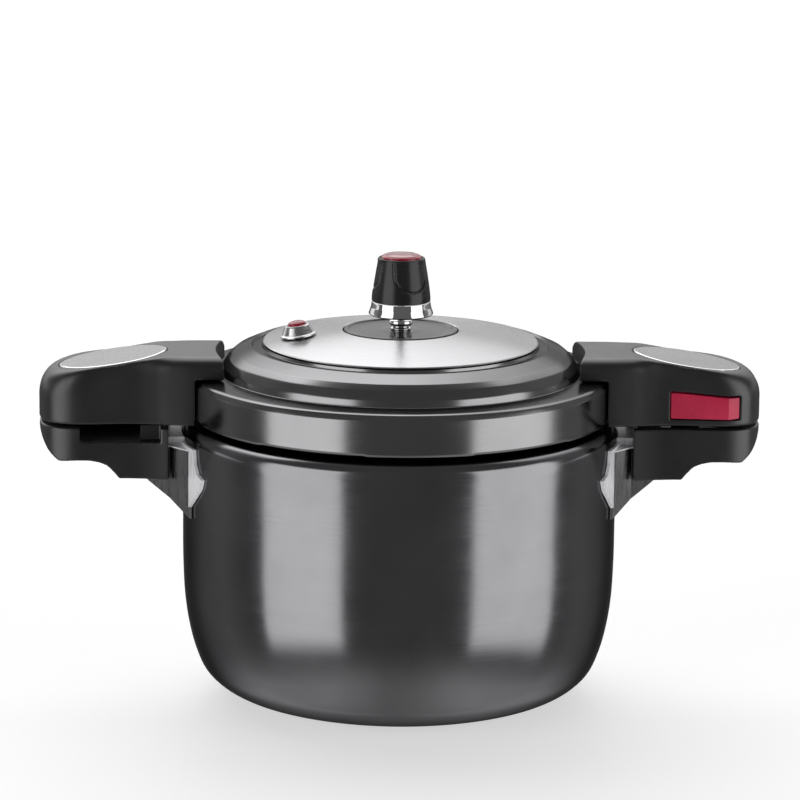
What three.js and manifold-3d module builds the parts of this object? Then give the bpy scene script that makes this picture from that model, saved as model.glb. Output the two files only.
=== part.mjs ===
// Stovetop pressure cooker with a bayonet lid, a dead-weight valve and twin two-part handles.
// Millimetres, +Z up. The base stands on z = 0, the handles lie along X and the front is -Y.
import * as THREE from 'three';
import { mergeVertices } from 'three/addons/utils/BufferGeometryUtils.js';
import Module from 'manifold-3d';

const wasm = await Module();
wasm.setup();

// ---------------------------------------------------------------- driving dimensions
const GAP = 0.3; // clearance between parts that rest on or sit in each other
const ROUND = 48; // facets round the pot, the lid and the gasket
const DEG = Math.PI / 180;

const LUG_COUNT = 6;
const LUG_WIDTH = 28 * DEG;
const LUG_CENTRE = -86.5 * DEG; // the lug at the front stands a little right of centre
const POT_LUG = { inner: 103.6, outer: 109.2, low: 161.5, high: 167.5 };
const LID_LUG = { inner: 105.8, outer: 111, low: 155.7, high: 160.9 };

const POT_MAX_RADIUS = 117.2;
const LID_SKIRT_RADIUS = 113;
const LID_WALL_RADIUS = 95.9;
const LID_STEP_Z = 177.2;

const PLATE = { inner: 31, outer: 73.8, thickness: 1 };
const DOME = { apex: 201.3, drop: 7.5 }; // height of the steel plate's top over the axis, and its fall
const DISC_RADIUS = 30.4;
const VENT_HOLE_RADIUS = 5.3;

const WEIGHT_BASE_Z = 208;
const WEIGHT_RADIUS = 17.5;
const CAP_RADIUS = 11.2;

const INDICATOR = { x: -54.8, y: -5.6, hole: 5.4 };

const HANDLE_BOTTOM = 152.7; // underside of the upper handles
const LOWER_TOP = 151; // top of the lower handles
const HANDLE_TOP = 189; // top of the upper handles beside the lid
const SLOPE_START = 126; // from here outwards the upper handles fall
const SLOPE = 0.155;
const HANDLE_HALF_WIDTHS = [
  [92, 30], [102, 29.9], [113, 29.6], [122, 28.4], [131, 26.8], [140, 25.7], [148, 25.6],
  [156, 26.4], [164, 27.3], [170, 27.6], [176, 27], [182, 25], [187, 21.4], [190.6, 16.2],
  [192.6, 9.8], [193.3, 3],
];
const BADGE = { x: 154, halfLength: 29, halfWidth: 23.1, thickness: 1.4 };
const BRACKET_SCREW_X = 126;
const LOWER_SCREW_X = 130.5;
const LOWER_INNER_X = 124;
const LOWER_SEAT_Z = 145.2; // top of the bracket's seat, level with the tray inside the handle

const LATCH = { low: 150.5, high: 155.5, tip: 147.5, top: 168.5, roof: 180 };
const BUTTON_TRAVEL = 4.5;

// ---------------------------------------------------------------- materials
const COLOURS = {
  pot: [0x3d3d40, 0.35, 0.8],
  bracket: [0x55565b, 0.45, 0.8],
  lid: [0x4a4a4d, 0.38, 0.75],
  steel: [0xc9cacc, 0.28, 1],
  chrome: [0xe2e2e4, 0.1, 1],
  phenolic: [0x232326, 0.5, 0],
  black: [0x161618, 0.35, 0],
  badge: [0xa9aaac, 0.4, 0.8],
  red: [0xa51c3c, 0.3, 0],
  silicone: [0xb9babb, 0.7, 0],
};

function part(name, solid, finish) {
  const [color, roughness, metalness] = COLOURS[finish];
  const material = new THREE.MeshStandardMaterial({ color, roughness, metalness });
  const mesh = new THREE.Mesh(toGeometry(solid), material);
  mesh.name = name;
  return mesh;
}

// ---------------------------------------------------------------- solids
function signedVolume(positions, index) {
  const [a, b, c] = [new THREE.Vector3(), new THREE.Vector3(), new THREE.Vector3()];
  let volume = 0;
  for (let i = 0; i < index.length; i += 3) {
    a.fromArray(positions, 3 * index[i]);
    b.fromArray(positions, 3 * index[i + 1]);
    c.fromArray(positions, 3 * index[i + 2]);
    volume += a.dot(b.cross(c));
  }
  return volume;
}

// A closed three.js geometry as a solid, wound outwards and without its zero-area triangles.
function toSolid(geometry) {
  const bare = geometry.clone();
  bare.deleteAttribute('normal');
  bare.deleteAttribute('uv');
  const merged = mergeVertices(bare, 1e-4);
  const positions = merged.attributes.position.array;
  const source = merged.index.array;
  const index = [];
  for (let i = 0; i < source.length; i += 3) {
    const [a, b, c] = [source[i], source[i + 1], source[i + 2]];
    if (a !== b && b !== c && c !== a) index.push(a, b, c);
  }
  if (signedVolume(positions, index) < 0) index.reverse();
  const mesh = new wasm.Mesh({
    numProp: 3,
    vertProperties: new Float32Array(positions),
    triVerts: new Uint32Array(index),
  });
  return new wasm.Manifold(mesh);
}

function toGeometry(solid) {
  const mesh = solid.getMesh();
  const geometry = new THREE.BufferGeometry();
  geometry.setAttribute('position', new THREE.BufferAttribute(mesh.vertProperties, 3));
  geometry.setIndex(new THREE.BufferAttribute(mesh.triVerts, 1));
  geometry.computeVertexNormals();
  return geometry;
}

// A profile of [radius, height] turned about Z.
function turned(profile, segments = ROUND) {
  const closed = profile[0][0] === 0 ? profile : [...profile, profile[0]];
  const points = closed.map(([r, z]) => new THREE.Vector2(r, z));
  return toSolid(new THREE.LatheGeometry(points, segments).rotateX(Math.PI / 2));
}

function box(x0, x1, y0, y1, z0, z1) {
  const geometry = new THREE.BoxGeometry(x1 - x0, y1 - y0, z1 - z0);
  return toSolid(geometry.translate((x0 + x1) / 2, (y0 + y1) / 2, (z0 + z1) / 2));
}

// An upright cylinder.
function rod(x, y, radius, z0, z1, segments = 16) {
  const geometry = new THREE.CylinderGeometry(radius, radius, z1 - z0, segments);
  return toSolid(geometry.rotateX(Math.PI / 2).translate(x, y, (z0 + z1) / 2));
}

function shapeOf(points) {
  return new THREE.Shape(points.map(([u, v]) => new THREE.Vector2(u, v)));
}

// A plan outline in X and Y, raised from z0 to z1.
function raised(points, z0, z1) {
  const options = { depth: z1 - z0, bevelEnabled: false };
  return toSolid(new THREE.ExtrudeGeometry(shapeOf(points), options).translate(0, 0, z0));
}

// A side outline in X and Z, spread across Y.
function spreadY(points, y0, y1) {
  const options = { depth: y1 - y0, bevelEnabled: false };
  const geometry = new THREE.ExtrudeGeometry(shapeOf(points), options);
  return toSolid(geometry.rotateX(Math.PI / 2).translate(0, y1, 0));
}

// A side outline in Y and Z, spread along X.
function spreadX(points, x0, x1) {
  const options = { depth: x1 - x0, bevelEnabled: false };
  const geometry = new THREE.ExtrudeGeometry(shapeOf(points), options);
  geometry.rotateX(Math.PI / 2).rotateZ(Math.PI / 2);
  return toSolid(geometry.translate(x0, 0, 0));
}

// A piece of a ring between two radii, two heights and two angles.
function ringSector({ inner, outer, low, high }, centre, width) {
  const steps = 6;
  const at = (radius, k) => {
    const angle = centre + width * (k / steps - 0.5);
    return [radius * Math.cos(angle), radius * Math.sin(angle)];
  };
  const outside = Array.from({ length: steps + 1 }, (_, k) => at(outer, k));
  const inside = Array.from({ length: steps + 1 }, (_, k) => at(inner, steps - k));
  return raised([...outside, ...inside], low, high);
}

function withLugs(solid, lug) {
  let result = solid;
  for (let i = 0; i < LUG_COUNT; i += 1) {
    const centre = LUG_CENTRE + (i * 2 * Math.PI) / LUG_COUNT;
    result = result.add(ringSector(lug, centre, LUG_WIDTH));
  }
  return result;
}

// ---------------------------------------------------------------- pot
function potBody() {
  const shell = turned([
    [0, 0], [70, 0], [78, 1.8], [91, 5.2], [99, 10], [105.6, 17], [109.4, 26], [112.6, 38],
    [115.2, 54], [116.3, 75], [116.4, 100], [117, 125], [POT_MAX_RADIUS, 143], [116.3, 147.6],
    [113.2, 150.6], [108.4, 152.4], [105.2, 154.4], [104.5, 157.4], [104.5, 171.4], [103.8, 172],
    [101.4, 172], [100.8, 171.4], [100.8, 157], [101.6, 153.4], [105.6, 149.6], [111, 147.4],
    [113.4, 144.6], [114, 141], [113.8, 125], [113.2, 100], [113.1, 75], [111.9, 54],
    [109.2, 39], [105.9, 27.6], [102.4, 20.2], [96.6, 14], [89.4, 10], [77.4, 7], [0, 6.5],
  ]);
  return withLugs(shell, POT_LUG);
}

function bracketCheek(side) {
  const plan = [
    [110.5, 36.6], [112.8, 36.2], [123.2, 24.4], [137, 22.2],
    [137, 20.2], [122.2, 22.5], [111.4, 34.4], [110.5, 34.6],
  ];
  return raised(plan.map(([x, y]) => [x, side * y]), 104, 141);
}

// A thin wing hugs the pot in front of and behind the cheeks, pointed where it is welded.
function bracketWings() {
  const wing = [
    [0, 143], [43.8, 143], [44.6, 136.4], [47.6, 130.8], [53.4, 128.8], [51.4, 123.4],
    [45, 116.8], [33.5, 108], [0, 108],
  ];
  const other = wing.map(([y, z]) => [-y, z]).reverse();
  const skin = rod(0, 0, POT_MAX_RADIUS + GAP + 1.5, 100, 143, 96);
  return skin.intersect(spreadX(wing, 95, 125).add(spreadX(other, 95, 125)));
}

// A folded channel: two cheeks, a web on top with a raised seat, and the wings against the pot.
function potBracket() {
  const top = [
    [112.5, -33], [122.8, -23.2], [137, -21.2], [137, 21.2], [122.8, 23.2], [112.5, 33],
  ];
  const sideView = [[100, 100], [112, 103.6], [134.5, 121.6], [138, 125], [138, 146], [100, 146]];
  return bracketCheek(1)
    .add(bracketCheek(-1))
    .add(raised(top, 139, 141))
    .add(bracketWings())
    .add(box(112, 126, -21, 21, 140, LOWER_SEAT_Z))
    .intersect(spreadY(sideView, -60, 60))
    .subtract(rod(0, 0, POT_MAX_RADIUS + GAP, 100, 150, ROUND))
    .subtract(rod(LOWER_SCREW_X, 0, 2.3, 130, 145));
}

// ---------------------------------------------------------------- handles
function handlePlan() {
  const side = HANDLE_HALF_WIDTHS.map(([x, y]) => [x, y]);
  const otherSide = [...side].reverse().map(([x, y]) => [x, -y]);
  return [...otherSide, ...side];
}

// The upper handle's outside: rounded top edges, a top that falls outwards and a fuller nose.
function upperBlank() {
  const bevel = { depth: 40, bevelThickness: 10, bevelSize: 3.6, bevelOffset: -3.6, bevelSegments: 3 };
  const geometry = new THREE.ExtrudeGeometry(shapeOf(handlePlan()), bevel);
  geometry.translate(0, 0, HANDLE_TOP - 50);
  const position = geometry.attributes.position;
  for (let i = 0; i < position.count; i += 1) {
    const [x, z] = [position.getX(i), position.getZ(i)];
    const rise = Math.max(0, (z - (HANDLE_TOP - 10.01)) / 10);
    if (rise > 0) {
      const nose = THREE.MathUtils.smoothstep(x, 160, 193);
      position.setX(i, x - 6 * nose * rise * rise);
      position.setZ(i, z - SLOPE * Math.max(0, x - SLOPE_START));
    }
  }
  return toSolid(geometry).subtract(box(80, 200, -40, 40, 120, HANDLE_BOTTOM));
}

// An oval slab in the plane of the handle's top, from `depth` below that plane to `proud` above it.
function oval(grow, depth, proud) {
  const [a, b] = [BADGE.halfLength + grow, BADGE.halfWidth + grow];
  const shape = new THREE.Shape().absellipse(0, 0, a, b, 0, 2 * Math.PI);
  const options = { depth: depth + proud, bevelEnabled: false, curveSegments: 20 };
  const geometry = new THREE.ExtrudeGeometry(shape, options);
  geometry.translate(0, 0, -depth).rotateY(Math.atan(SLOPE));
  const surface = HANDLE_TOP - SLOPE * (BADGE.x - SLOPE_START);
  return toSolid(geometry.translate(BADGE.x, 0, surface));
}

function upperHandle() {
  const recess = oval(0.4, BADGE.thickness + GAP, 12);
  return upperBlank()
    .subtract(rod(0, 0, LID_SKIRT_RADIUS + 0.6, 140, LID_STEP_Z + GAP, ROUND))
    .subtract(rod(0, 0, LID_WALL_RADIUS + 2.9, 170, 200, ROUND))
    .subtract(recess)
    .subtract(box(110, 134.4, -9.4, 9.4, 162.7, 166.3))
    .subtract(box(110, 115.9, -12.4, 12.4, 158.2, 174.8))
    .subtract(rod(BRACKET_SCREW_X, 0, 4.4, 150, 156.7))
    .subtract(rod(BRACKET_SCREW_X, 0, 2.3, 150, 171.5));
}

const COVER_SCREWS = [[135.4, 1], [184.4, 1]];

function coverPlan(grow) {
  return [
    [131.8 - grow, -8 - grow], [138.3 - grow, -22.7 - grow], [176 + grow, -22.7 - grow],
    [181.2 + grow, -19.7 - grow], [187.7 + grow, -8 - grow], [187.7 + grow, 10 + grow],
    [181.2 + grow, 11.7 + grow], [138.3 - grow, 11.7 + grow], [131.8 - grow, 10 + grow],
  ];
}

// The right upper handle also houses the release: a chamber, a window for the button and a cover.
function releaseHandle() {
  const chamber = [[138, -23], [176, -23], [181.5, -20], [181.5, 12], [138, 12]];
  let handle = upperHandle()
    .subtract(raised(chamber, 150, 174.5))
    .subtract(raised(coverPlan(GAP), 150, 155))
    .subtract(box(148.5, 157.5, -13, 6, 170, LATCH.roof))
    .subtract(box(143.4, 180.6, -34, -20, 156.6, 171.2));
  for (const [x, y] of COVER_SCREWS) {
    handle = handle.subtract(rod(x, y, 1.6, 150, 160.6, 12));
  }
  return handle;
}

function latchCover() {
  let cover = raised(coverPlan(0), HANDLE_BOTTOM + 0.2, 154.7).subtract(
    box(150, 156, -1.7, 4.3, 150, 156),
  );
  for (const [x, y] of COVER_SCREWS) {
    cover = cover.subtract(rod(x, y, 2.9, 150, 154.1, 16)).subtract(rod(x, y, 1.6, 150, 156, 12));
  }
  return cover;
}

function coverScrew([x, y]) {
  return rod(x, y, 2.5, HANDLE_BOTTOM + 0.3, 153.9, 16).add(rod(x, y, 1.3, 153.5, 160, 12));
}

// The button's face stands proud towards the nose. A 45 degree wedge behind it lifts the latch bolt.
function releaseButton() {
  const face = [[143.8, -25.8], [173, -29.3], [180.2, -25.2], [180.2, -22], [143.8, -22]];
  const wedge = [[-21.4, 158], [-6, 158], [-14, 166], [-21.4, 166]];
  return raised(face, 157, 170.8)
    .add(box(141.4, 176, -22.6, -20.8, 155.4, 172.6))
    .add(spreadX(wedge, LATCH.low - 0.5, LATCH.high + 0.5));
}

function latchBolt() {
  const side = [
    [-12, 164.45], [-2.6, 155.05], [-1.2, 155.05], [-1.2, LATCH.tip],
    [3.8, LATCH.tip], [3.8, LATCH.top], [-12, LATCH.top],
  ];
  return spreadX(side, LATCH.low, LATCH.high);
}

class Helix extends THREE.Curve {
  constructor(radius, z0, z1, turns) {
    super();
    Object.assign(this, { radius, z0, z1, turns });
  }

  getPoint(t, target = new THREE.Vector3()) {
    const angle = 2 * Math.PI * this.turns * t;
    const z = this.z0 + (this.z1 - this.z0) * t;
    return target.set(this.radius * Math.cos(angle), this.radius * Math.sin(angle), z);
  }
}

function latchSpring() {
  const wire = 0.35;
  const path = new Helix(1.9, LATCH.top + GAP + wire, LATCH.roof - GAP - wire, 5);
  const section = new THREE.Shape().absarc(0, 0, wire, 0, 2 * Math.PI);
  const options = { steps: 40, extrudePath: path, curveSegments: 2, bevelEnabled: false };
  const geometry = new THREE.ExtrudeGeometry(section, options);
  return toSolid(geometry.translate((LATCH.low + LATCH.high) / 2, 0, 0));
}

function lidBracket() {
  return box(113, 115.5, -12, 12, 158.5, 174.5)
    .add(box(114, 134, -9, 9, 163, 166))
    .subtract(rod(0, 0, LID_SKIRT_RADIUS + GAP, 150, 180, ROUND))
    .subtract(rod(BRACKET_SCREW_X, 0, 2.3, 160, 170));
}

function handleScrew() {
  return rod(BRACKET_SCREW_X, 0, 4, 153.4, 156.4)
    .add(rod(BRACKET_SCREW_X, 0, 1.9, 156, 171))
    .subtract(box(BRACKET_SCREW_X - 3, BRACKET_SCREW_X + 3, -0.5, 0.5, 153, 154.6));
}

// The lower handle: a tray with an open notch, and a scallop below for the fingers.
function lowerHandle() {
  const sideView = [
    [LOWER_INNER_X, 123], [150, 123.4], [153, 126.6], [156, 130], [162, 132.5], [168, 133.3],
    [175, 133.1], [181.7, 132.6], [185, 134.6], [188.1, 137.6], [190.7, 142.4], [192.4, 146.4],
    [193.4, LOWER_TOP], [LOWER_INNER_X, LOWER_TOP],
  ];
  const socket = [
    [120, -25.6], [125.4, -24.9], [138, -22.8], [138, 22.8], [125.4, 24.9], [120, 25.6],
  ];
  return raised(handlePlan(), 110, 160)
    .intersect(spreadY(sideView, -40, 40))
    .subtract(raised(socket, 100, 141.4))
    .subtract(box(120, 126.4, -21.4, 21.4, 140, 160))
    .subtract(box(139, 182, -21, 21, 143, 160))
    .subtract(box(128, 171, 19, 40, 143, 160))
    .subtract(rod(LOWER_SCREW_X, 0, 2.3, 135, 148.6));
}

// Under the latch the tray carries two keeper ribs, one on each side of the bolt.
function keeperHandle() {
  return lowerHandle()
    .add(box(147, 161, 4.5, 7, 142, 150.4))
    .add(box(147, 161, -4.5, -2, 142, 150.4));
}

function lowerScrew() {
  return rod(LOWER_SCREW_X, 0, 4, 135.6, 138.7)
    .add(rod(LOWER_SCREW_X, 0, 1.9, 138, 148))
    .subtract(box(LOWER_SCREW_X - 3, LOWER_SCREW_X + 3, -0.5, 0.5, 135, 136.8));
}

// ---------------------------------------------------------------- lid
function plateTop(radius) {
  return DOME.apex - DOME.drop * (radius / PLATE.outer) ** 2;
}

function lidShell() {
  const under = (radius) => [radius, plateTop(radius) - PLATE.thickness - 0.35];
  const shell = turned([
    [VENT_HOLE_RADIUS, 198.4], [31, 198.4], under(45), under(60), under(74), [74.6, 191],
    [79.2, 190.7], [80.3, 191.6], [84, 190.1], [88.5, 187.9], [92.6, 185], [94.6, 182.2],
    [LID_WALL_RADIUS, 179.2], [97.2, 177.8], [99.4, LID_STEP_Z], [108.6, 177], [111.2, 175.9],
    [112.6, 174.2], [LID_SKIRT_RADIUS, 172.6], [LID_SKIRT_RADIUS, 156], [112.2, 155.1],
    [110.2, 155.1], [110.2, 172.4], [108.9, 174.3], [107.6, 175.3], [98.4, 175.3], [98.4, 170.2],
    [97.4, 169.6], [95.4, 169.8], [92.6, 175.5], [91.8, 179.4], [90.4, 182.2], [88, 184.4],
    [84, 186.4], [76, 188.2], [66, 191.2], [60, 192.4], [45, 194.5], [31, 195.4],
    [VENT_HOLE_RADIUS, 195.4],
  ]);
  return withLugs(shell, LID_LUG).subtract(indicatorHole());
}

// The indicator stands square to the dome, so its hole leans outwards with it.
function indicatorFrame() {
  const radius = Math.hypot(INDICATOR.x, INDICATOR.y);
  const bearing = Math.atan2(INDICATOR.y, INDICATOR.x);
  const tilt = Math.atan((2 * DOME.drop * radius) / PLATE.outer ** 2);
  return new THREE.Matrix4()
    .makeTranslation(INDICATOR.x, INDICATOR.y, plateTop(radius))
    .multiply(new THREE.Matrix4().makeRotationZ(bearing))
    .multiply(new THREE.Matrix4().makeRotationY(tilt));
}

function indicatorHole() {
  const drill = new THREE.CylinderGeometry(INDICATOR.hole, INDICATOR.hole, 40, 24);
  return toSolid(drill.rotateX(Math.PI / 2).applyMatrix4(indicatorFrame()));
}

function lidPlate() {
  const top = [PLATE.outer, 60, 45, PLATE.inner].map((r) => [r, plateTop(r)]);
  const under = [PLATE.inner, 45, 60, PLATE.outer].map((r) => [r, plateTop(r) - PLATE.thickness]);
  return turned([...under, ...top]).subtract(indicatorHole());
}

function centreDisc() {
  return turned([
    [VENT_HOLE_RADIUS, 198.8], [30, 198.8], [DISC_RADIUS, 199.2], [DISC_RADIUS, 200.1],
    [30, 200.4], [28.8, 200.4], [28, 199.8], [VENT_HOLE_RADIUS, 199.8],
  ], 32);
}

function gasket() {
  return turned([[98.8, 172.3], [104.6, 172.3], [105, 172.7], [105, 174.6], [104.6, 175], [98.8, 175]]);
}

// ---------------------------------------------------------------- vent and weight valve
function ventPipe() {
  return turned([
    [1.2, 187], [4.8, 187], [4.8, 200.1], [6.2, 200.1], [6.4, 201.2], [5.4, 202.6], [4.3, 203.2],
    [4.3, 203.9], [5.6, 204.4], [6, 205.4], [5.4, 206.5], [3.2, 207], [3.2, 215.6], [2.8, 216],
    [1.2, 216],
  ], 16);
}

function hexNut(across, bore, z0, z1) {
  return rod(0, 0, across, z0, z1, 6).subtract(rod(0, 0, bore, z0 - 1, z1 + 1));
}

function ventWasher() {
  return rod(0, 0, 9.5, 193.9, 195.1).subtract(rod(0, 0, 5.2, 190, 198));
}

function antiClogCap() {
  let cap = turned([
    [0, 183], [10.2, 183], [10.6, 183.5], [10.6, 193], [9.9, 193], [9.9, 184], [0, 184],
  ], 20);
  for (let i = 0; i < 3; i += 1) {
    const slot = box(-12, 12, -1.2, 1.2, 185, 189);
    cap = cap.subtract(slot.rotate([0, 0, 60 * i]));
  }
  return cap;
}

function valveNeedle() {
  return turned([[0, 215], [0.9, 216.2], [2.2, 217.6], [2.2, 223.5], [0, 223.5]], 12);
}

function weightBody() {
  return turned([
    [0, 224], [2.6, 224], [2.6, 217.6], [4.2, 216.8], [4.2, 212], [9.5, 211], [9.5, 208.4],
    [10, WEIGHT_BASE_Z], [16.8, WEIGHT_BASE_Z], [WEIGHT_RADIUS, 208.7], [16.5, 213.5],
    [8, 213.5], [8, 230], [2, 230], [2, 226], [0, 226],
  ], 24);
}

// The grip leans in towards the top and has three finger scallops.
function weightCover() {
  let cover = turned([
    [8.3, 213.8], [16.2, 213.8], [15.9, 217.4], [15, 224], [13.7, 232], [12.6, 236.9],
    [11.9, 238.2], [11.5, 237.9], [11.5, 236.4], [5, 236.4], [5, 233], [2.2, 233],
    [2.2, 230.3], [8.3, 230.3],
  ], 24);
  for (const angle of [-62, 58, 178]) {
    const scallop = new THREE.CylinderGeometry(9, 9, 15, 16).rotateX(Math.PI / 2);
    scallop.rotateY(-9 * DEG).translate(22, 0, 226.5).rotateZ(angle * DEG);
    cover = cover.subtract(toSolid(scallop));
  }
  return cover;
}

function weightScrew() {
  return rod(0, 0, 3.8, 233.3, 235.7).add(rod(0, 0, 1.6, 226.6, 233.6, 12));
}

function weightCap() {
  return turned([
    [0, 236.7], [CAP_RADIUS, 236.7], [CAP_RADIUS, 239.1], [10.5, 240.2], [7.5, 240.9],
    [3.5, 241.2], [0, 241.2],
  ], 24);
}

// ---------------------------------------------------------------- pressure indicator
// Heights here are measured from the steel plate, along the indicator's own axis.
function indicatorHousing() {
  return turned([
    [2.4, -8], [4.9, -8], [4.9, 0.35], [9.2, 0.35], [9.5, 0.7], [9.3, 1.6], [6.9, 6],
    [6.2, 6.5], [5.3, 6.5], [5.3, 3.4], [2.4, 3.4],
  ], 20);
}

function indicatorPin() {
  return turned([
    [0, -14.5], [3.6, -14.5], [3.6, -13], [2, -13], [2, 3.7], [4.9, 3.7], [4.9, 7.6],
    [4.4, 8.5], [3, 9.1], [0, 9.3],
  ], 16);
}

function indicatorSeal() {
  return rod(0, 0, 8.5, -5.2, -4.4).subtract(rod(0, 0, 5.25, -6, -4));
}

// ---------------------------------------------------------------- assembly
const cooker = new THREE.Group();
cooker.name = 'pressure_cooker';
cooker.add(
  part('pot_body', potBody(), 'pot'),
  part('gasket', gasket(), 'silicone'),
  part('lid_shell', lidShell(), 'lid'),
  part('lid_plate', lidPlate(), 'steel'),
  part('centre_disc', centreDisc(), 'black'),
  part('vent_pipe', ventPipe(), 'chrome'),
  part('vent_washer', ventWasher(), 'silicone'),
  part('vent_nut', hexNut(9.2, 5.1, 190.3, 193.6), 'steel'),
  part('anti_clog_cap', antiClogCap(), 'steel'),
  part('valve_needle', valveNeedle(), 'steel'),
  part('weight_body', weightBody(), 'chrome'),
  part('weight_cover', weightCover(), 'black'),
  part('weight_screw', weightScrew(), 'steel'),
  part('weight_cap', weightCap(), 'red'),
);

const indicator = new THREE.Group();
indicator.name = 'indicator';
indicator.applyMatrix4(indicatorFrame());
indicator.add(
  part('indicator_housing', indicatorHousing(), 'chrome'),
  part('indicator_pin', indicatorPin(), 'red'),
  part('indicator_seal', indicatorSeal(), 'silicone'),
  part('indicator_nut', hexNut(8, 5.2, -7.9, -5.5), 'steel'),
);
cooker.add(indicator);

// Both sides carry the same mouldings and brackets, half a turn apart.
function handleSet(side, lower, upper) {
  const badge = oval(0, BADGE.thickness, 0.1);
  const group = new THREE.Group();
  group.name = `handles_${side}`;
  group.add(
    part(`pot_bracket_${side}`, potBracket(), 'bracket'),
    part(`lower_handle_${side}`, lower, 'phenolic'),
    part(`lower_handle_screw_${side}`, lowerScrew(), 'steel'),
    part(`lid_bracket_${side}`, lidBracket(), 'steel'),
    part(`upper_handle_${side}`, upper, 'phenolic'),
    part(`upper_handle_screw_${side}`, handleScrew(), 'steel'),
    part(`badge_${side}`, badge, 'badge'),
  );
  return group;
}

const rightHandles = handleSet('right', keeperHandle(), releaseHandle());
rightHandles.add(
  part('latch_cover', latchCover(), 'phenolic'),
  part('latch_cover_screw_inner', coverScrew(COVER_SCREWS[0]), 'steel'),
  part('latch_cover_screw_outer', coverScrew(COVER_SCREWS[1]), 'steel'),
  part('release_button', releaseButton(), 'red'),
  part('latch_bolt', latchBolt(), 'steel'),
  part('latch_spring', latchSpring(), 'steel'),
);
const leftHandles = handleSet('left', lowerHandle(), upperHandle());
leftHandles.rotation.z = Math.PI;
cooker.add(rightHandles, leftHandles);

export default cooker;
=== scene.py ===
import math

import bmesh
import bpy
import numpy as np
from mathutils import Matrix, Vector


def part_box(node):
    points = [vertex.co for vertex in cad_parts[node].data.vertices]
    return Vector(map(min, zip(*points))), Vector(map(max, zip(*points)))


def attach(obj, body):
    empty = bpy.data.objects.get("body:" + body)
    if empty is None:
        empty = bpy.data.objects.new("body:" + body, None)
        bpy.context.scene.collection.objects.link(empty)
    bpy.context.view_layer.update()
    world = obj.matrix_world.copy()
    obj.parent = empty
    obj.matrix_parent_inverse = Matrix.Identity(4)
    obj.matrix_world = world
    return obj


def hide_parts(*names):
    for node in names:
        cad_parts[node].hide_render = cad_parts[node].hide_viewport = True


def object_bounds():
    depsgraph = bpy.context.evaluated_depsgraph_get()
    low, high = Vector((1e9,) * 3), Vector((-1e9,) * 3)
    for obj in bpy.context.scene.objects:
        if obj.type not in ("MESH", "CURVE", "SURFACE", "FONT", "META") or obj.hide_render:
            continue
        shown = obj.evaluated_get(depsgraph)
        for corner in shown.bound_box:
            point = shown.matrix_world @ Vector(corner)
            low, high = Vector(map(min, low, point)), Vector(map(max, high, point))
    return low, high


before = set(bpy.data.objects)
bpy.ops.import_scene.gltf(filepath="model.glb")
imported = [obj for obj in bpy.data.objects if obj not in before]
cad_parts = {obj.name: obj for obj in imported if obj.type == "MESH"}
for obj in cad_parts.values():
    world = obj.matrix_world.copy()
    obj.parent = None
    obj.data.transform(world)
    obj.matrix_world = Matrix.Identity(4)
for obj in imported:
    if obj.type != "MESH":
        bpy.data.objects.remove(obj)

cad_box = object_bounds()
MM = 0.001
TAU = 2 * math.pi
VOXEL = 0.5 * MM


# ------------------------------------------------------------------ shader helpers
class Nodes:
    """A node tree with short names for the steps that the finishes and the studio need."""

    def __init__(self, tree):
        self.tree = tree

    def node(self, kind, **settings):
        node = self.tree.nodes.new(kind)
        for key, value in settings.items():
            setattr(node, key, value)
        return node

    def feed(self, node, key, value):
        if isinstance(value, bpy.types.NodeSocket):
            self.tree.links.new(value, node.inputs[key])
        else:
            node.inputs[key].default_value = value

    def math(self, operation, a, b=0.0):
        node = self.node("ShaderNodeMath", operation=operation)
        self.feed(node, 0, a)
        self.feed(node, 1, b)
        return node.outputs[0]

    def position(self):
        return self.node("ShaderNodeTexCoord").outputs["Object"]

    def split(self, vector):
        node = self.node("ShaderNodeSeparateXYZ")
        self.feed(node, 0, vector)
        return node.outputs

    def combine(self, x, y, z):
        node = self.node("ShaderNodeCombineXYZ")
        for i, value in enumerate((x, y, z)):
            self.feed(node, i, value)
        return node.outputs[0]

    def noise(self, vector, scale=1.0, detail=2.0, w=None, rough=0.5):
        node = self.node("ShaderNodeTexNoise")
        if w is not None:
            node.noise_dimensions = "4D"
            self.feed(node, "W", w)
        self.feed(node, "Vector", vector)
        node.inputs["Scale"].default_value = scale
        node.inputs["Detail"].default_value = detail
        node.inputs["Roughness"].default_value = rough
        return node.outputs["Fac"]

    def remap(self, value, low, high, out_low, out_high):
        node = self.node("ShaderNodeMapRange")
        for key, v in zip(("Value", "From Min", "From Max", "To Min", "To Max"),
                          (value, low, high, out_low, out_high)):
            self.feed(node, key, v)
        return node.outputs[0]

    def tint(self, value, dark, light):
        node = self.node("ShaderNodeValToRGB")
        node.color_ramp.elements[0].position = 0.3
        node.color_ramp.elements[1].position = 0.7
        node.color_ramp.elements[0].color = (*dark, 1)
        node.color_ramp.elements[1].color = (*light, 1)
        self.feed(node, 0, value)
        return node.outputs[0]

    def band(self, value, low, high, soft):
        """1 between low and high, 0 outside, with soft edges."""
        rise = self.node("ShaderNodeMapRange", interpolation_type="SMOOTHSTEP")
        fall = self.node("ShaderNodeMapRange", interpolation_type="SMOOTHSTEP")
        for node, start, end in ((rise, low - soft, low + soft), (fall, high + soft, high - soft)):
            self.feed(node, 0, value)
            node.inputs[1].default_value = start
            node.inputs[2].default_value = end
        return self.math("MULTIPLY", rise.outputs[0], fall.outputs[0])

    def bump(self, height, strength, distance, below=None):
        node = self.node("ShaderNodeBump")
        node.inputs["Strength"].default_value = strength
        node.inputs["Distance"].default_value = distance
        self.feed(node, "Height", height)
        if below is not None:
            self.tree.links.new(below, node.inputs["Normal"])
        return node.outputs[0]


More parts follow.
